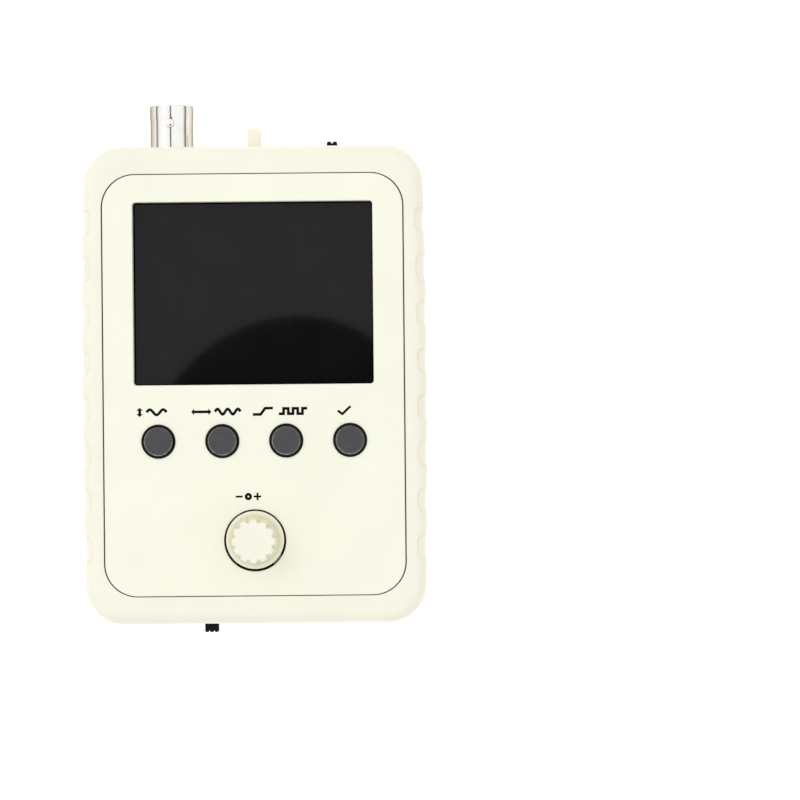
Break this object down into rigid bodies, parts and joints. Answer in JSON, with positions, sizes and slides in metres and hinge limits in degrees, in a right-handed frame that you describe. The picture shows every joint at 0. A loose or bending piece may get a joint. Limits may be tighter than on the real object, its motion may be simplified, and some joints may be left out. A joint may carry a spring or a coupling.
{
  "type": "handheld oscilloscope",
  "caption": "Pocket-size oscilloscope in a pale plastic case: recessed display, push buttons, turn-and-push knob, coaxial input jack and slide switches.",
  "frame": {"origin": "centre of the flat rear face that the case rests on", "axes": "+Z out of the display, +Y along the case towards the input jack, +X to the right as seen from the front"},
  "size_m": [0.076, 0.1173, 0.029],
  "materials": {
    "case_plastic": "moulded ABS, fine satin grain",
    "panel_plastic": "moulded ABS, smooth satin",
    "tape": "double-sided adhesive tape",
    "foam": "thin foam gasket",
    "display": "dark display glass, glossy",
    "white_plastic": "white backlight tray",
    "flex": "polyimide ribbon",
    "board": "green solder mask on glass-fibre board",
    "chip": "moulded chip packages",
    "gold": "gold-plated contacts",
    "black_plastic": "moulded black plastic",
    "tin": "tinned sheet steel",
    "nickel": "bright nickel plate",
    "ptfe": "white fluoropolymer",
    "capacitor": "aluminium cans",
    "trimmer": "ceramic trimmers",
    "steel": "plated steel",
    "switch_plastic": "black switch housings",
    "button_plastic": "dark grey button caps"
  },
  "bodies": {
    "case": {"rear_shell": "case_plastic", "front_shell": "case_plastic", "front_panel": "panel_plastic", "panel_tape": "tape", "lcd_gasket": "foam", "lcd_glass": "display", "lcd_backlight": "white_plastic", "lcd_flex": "flex", "main_board": "board", "main_board_chips": "chip", "analog_board": "board", "analog_board_chips": "chip", "header_pins": "gold", "header_socket": "black_plastic", "shield_can": "tin", "capacitors": "capacitor", "trimmers": "trimmer", "jack_block": "nickel", "jack_shell": "nickel", "jack_insulator": "ptfe", "jack_contact": "gold", "coupling_can": "tin", "power_can": "tin", "inlet_body": "black_plastic", "inlet_pin": "nickel", "terminal_base": "black_plastic", "terminal_loop": "nickel", "encoder_board": "board", "encoder_link": "black_plastic", "encoder_base": "black_plastic", "encoder_bush": "steel", "tact_domes": "tin", "case_screws": "steel", "main_board_screws": "steel", "analog_board_screws": "steel", "tact_switch_1": "switch_plastic", "tact_switch_2": "switch_plastic", "tact_switch_3": "switch_plastic", "tact_switch_4": "switch_plastic"},
    "button_1": {"button_cap_1": "button_plastic", "button_plunger_1": "switch_plastic"},
    "button_2": {"button_cap_2": "button_plastic", "button_plunger_2": "switch_plastic"},
    "button_3": {"button_cap_3": "button_plastic", "button_plunger_3": "switch_plastic"},
    "button_4": {"button_cap_4": "button_plastic", "button_plunger_4": "switch_plastic"},
    "rotor": {"encoder_rotor": "black_plastic"},
    "knob_body": {"knob": "case_plastic", "encoder_spindle": "steel"},
    "coupling_slider": {"coupling_lever": "case_plastic", "coupling_contact": "gold"},
    "power_slider": {"power_lever": "black_plastic", "power_contact": "gold"}
  },
  "joints": [
    {"name": "button_1_press", "type": "slide", "parent": "case", "child": "button_1", "axis": [0, 0, -1], "range_m": [0, 0.0004], "stiffness_N_per_m": 1500, "springref_m": -0.0005},
    {"name": "button_2_press", "type": "slide", "parent": "case", "child": "button_2", "axis": [0, 0, -1], "range_m": [0, 0.0004], "stiffness_N_per_m": 1500, "springref_m": -0.0005},
    {"name": "button_3_press", "type": "slide", "parent": "case", "child": "button_3", "axis": [0, 0, -1], "range_m": [0, 0.0004], "stiffness_N_per_m": 1500, "springref_m": -0.0005},
    {"name": "button_4_press", "type": "slide", "parent": "case", "child": "button_4", "axis": [0, 0, -1], "range_m": [0, 0.0004], "stiffness_N_per_m": 1500, "springref_m": -0.0005},
    {"name": "knob_turn", "type": "hinge", "parent": "case", "child": "rotor", "pos_m": [0, -0.034, 0.0146], "axis": [0, 0, -1], "continuous": true},
    {"name": "knob_push", "type": "slide", "parent": "rotor", "child": "knob_body", "axis": [0, 0, -1], "range_m": [0, 0.0005], "stiffness_N_per_m": 2500, "springref_m": -0.0006},
    {"name": "coupling_slide", "type": "slide", "parent": "case", "child": "coupling_slider", "axis": [1, 0, 0], "range_m": [-0.002, 0.002]},
    {"name": "power_slide", "type": "slide", "parent": "case", "child": "power_slider", "axis": [1, 0, 0], "range_m": [0, 0.002]}
  ]
}
